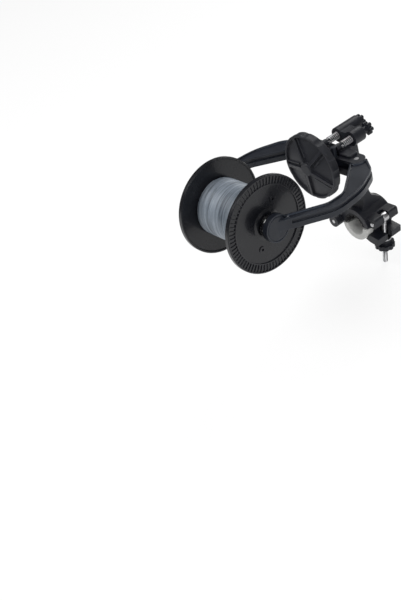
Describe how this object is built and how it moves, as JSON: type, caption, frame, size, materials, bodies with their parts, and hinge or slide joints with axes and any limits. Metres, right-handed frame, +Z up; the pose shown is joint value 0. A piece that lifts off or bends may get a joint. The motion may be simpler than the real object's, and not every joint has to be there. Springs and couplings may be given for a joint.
{
  "type": "fishing line winder",
  "caption": "Clamp-on line winder: a hinged rod clamp carries a post with two bow arms whose spring-loaded centres hold a bulk line spool, closed by a hand knob.",
  "frame": {"origin": "on the axis of the rod clamp's bore, level with the swing bolt", "axes": "+X along the spool's axis from the rear arm to the front arm, +Y along the clamped rod towards its tip, +Z up from the rod to the arms"},
  "size_m": [0.1638, 0.229, 0.1933],
  "materials": {
    "moulded_black": "fine matt grain, glass-filled plastic",
    "arm_black": "satin black",
    "glossy_black": "polished black",
    "spool_black": "semi-gloss black",
    "knob_black": "matt black",
    "rubber_black": "matt",
    "rubber_grey": "matt light grey",
    "steel": "turned",
    "spring_steel": "drawn wire",
    "brass": "turned",
    "line_grey": "braided line, slight sheen",
    "line_core_grey": "packed line"
  },
  "bodies": {
    "frame": {"bracket": "moulded_black", "top_plate": "moulded_black", "plate_screws": "steel", "arm_pivot_pins": "steel", "screw_bush": "brass", "jaw_hinge_pin": "steel", "swing_bolt_pin": "steel", "upper_liner": "rubber_black", "rear_spring": "spring_steel", "front_spring": "spring_steel"},
    "crosshead": {"crosshead": "moulded_black"},
    "knob": {"knob": "knob_black", "knob_screw": "steel", "screw_clip": "steel"},
    "front_arm": {"front_arm": "arm_black", "front_axle": "steel", "front_axle_clip": "steel"},
    "rear_arm": {"rear_arm": "arm_black", "rear_axle": "steel", "rear_axle_clip": "steel"},
    "front_cone": {"front_cone": "glossy_black", "front_bush": "brass"},
    "rear_cone": {"rear_cone": "glossy_black", "rear_bush": "brass"},
    "spool": {"spool_front_flange": "spool_black", "spool_rear_flange": "spool_black", "spool_core": "spool_black", "line_core": "line_core_grey", "line_winding": "line_grey"},
    "rear_plunger": {"rear_plunger": "moulded_black"},
    "front_plunger": {"front_plunger": "moulded_black"},
    "rear_star_knob": {"rear_star_knob": "moulded_black"},
    "front_star_knob": {"front_star_knob": "moulded_black"},
    "lower_jaw": {"lower_jaw": "moulded_black", "lower_liner": "rubber_grey"},
    "swing_bolt": {"swing_bolt": "steel"},
    "clamp_washer": {"clamp_washer": "steel"},
    "clamp_nut": {"clamp_nut": "moulded_black"}
  },
  "joints": [
    {"name": "crosshead_slide", "type": "slide", "parent": "frame", "child": "crosshead", "axis": [0, 1, 0], "range_m": [-0.0021, 0]},
    {"name": "knob_turn", "type": "hinge", "parent": "crosshead", "child": "knob", "pos_m": [0, -0.058, 0.0938], "axis": [0, 1, 0], "range_deg": [-600, 0]},
    {"name": "front_arm_swing", "type": "hinge", "parent": "frame", "child": "front_arm", "pos_m": [0.034, -0.03, 0.0894], "axis": [0, 0, 1], "range_deg": [0, 5]},
    {"name": "rear_arm_swing", "type": "hinge", "parent": "frame", "child": "rear_arm", "pos_m": [-0.034, -0.03, 0.0894], "axis": [0, 0, 1], "range_deg": [-5, 0]},
    {"name": "spool_spin", "type": "hinge", "parent": "rear_arm", "child": "spool", "pos_m": [0, -0.155, 0.0902], "axis": [1, 0, 0], "continuous": true},
    {"name": "rear_cone_spin", "type": "hinge", "parent": "rear_arm", "child": "rear_cone", "pos_m": [-0.036, -0.155, 0.0902], "axis": [1, 0, 0], "continuous": true},
    {"name": "front_cone_spin", "type": "hinge", "parent": "front_arm", "child": "front_cone", "pos_m": [0.036, -0.155, 0.0902], "axis": [1, 0, 0], "continuous": true},
    {"name": "rear_star_turn", "type": "hinge", "parent": "frame", "child": "rear_star_knob", "pos_m": [-0.0095, 0.021, 0.1022], "axis": [0, 1, 0], "range_deg": [0, 2250]},
    {"name": "rear_plunger_slide", "type": "slide", "parent": "frame", "child": "rear_plunger", "axis": [0, 1, 0], "range_m": [0, 0.005], "deforming": ["rear_spring"]},
    {"name": "front_star_turn", "type": "hinge", "parent": "frame", "child": "front_star_knob", "pos_m": [0.0095, 0.0125, 0.1022], "axis": [0, 1, 0], "range_deg": [0, 2250]},
    {"name": "front_plunger_slide", "type": "slide", "parent": "frame", "child": "front_plunger", "axis": [0, 1, 0], "range_m": [0, 0.005], "deforming": ["front_spring"]},
    {"name": "jaw_open", "type": "hinge", "parent": "frame", "child": "lower_jaw", "pos_m": [-0.025, 0, 0.001], "axis": [0, 1, 0], "range_deg": [0, 10]},
    {"name": "bolt_swing", "type": "hinge", "parent": "frame", "child": "swing_bolt", "pos_m": [0.024, 0, 0.0065], "axis": [0, -1, 0], "range_deg": [0, 95]},
    {"name": "washer_slide", "type": "slide", "parent": "swing_bolt", "child": "clamp_washer", "axis": [0.1564, 0, 0.9877], "range_m": [-0.009, 0]},
    {"name": "nut_turn", "type": "hinge", "parent": "clamp_washer", "child": "clamp_nut", "pos_m": [0.01931, 0, -0.02313], "axis": [0.1564, 0, 0.9877], "range_deg": [-4050, 0]}
  ],
  "couplings": [
    {"joint": "crosshead_slide", "follows": "knob_turn", "m_per_rad": 0.00019894},
    {"joint": "front_arm_swing", "follows": "knob_turn", "ratio": -0.0082893},
    {"joint": "rear_arm_swing", "follows": "knob_turn", "ratio": 0.0082893},
    {"joint": "rear_cone_spin", "follows": "spool_spin", "ratio": 1},
    {"joint": "front_cone_spin", "follows": "spool_spin", "ratio": 1},
    {"joint": "rear_star_turn", "follows": "rear_plunger_slide", "rad_per_m": 7854},
    {"joint": "front_star_turn", "follows": "front_plunger_slide", "rad_per_m": 7854},
    {"joint": "nut_turn", "follows": "washer_slide", "rad_per_m": 7854},
    {"joint": "jaw_open", "follows": "washer_slide", "rad_per_m": -19.242}
  ]
}
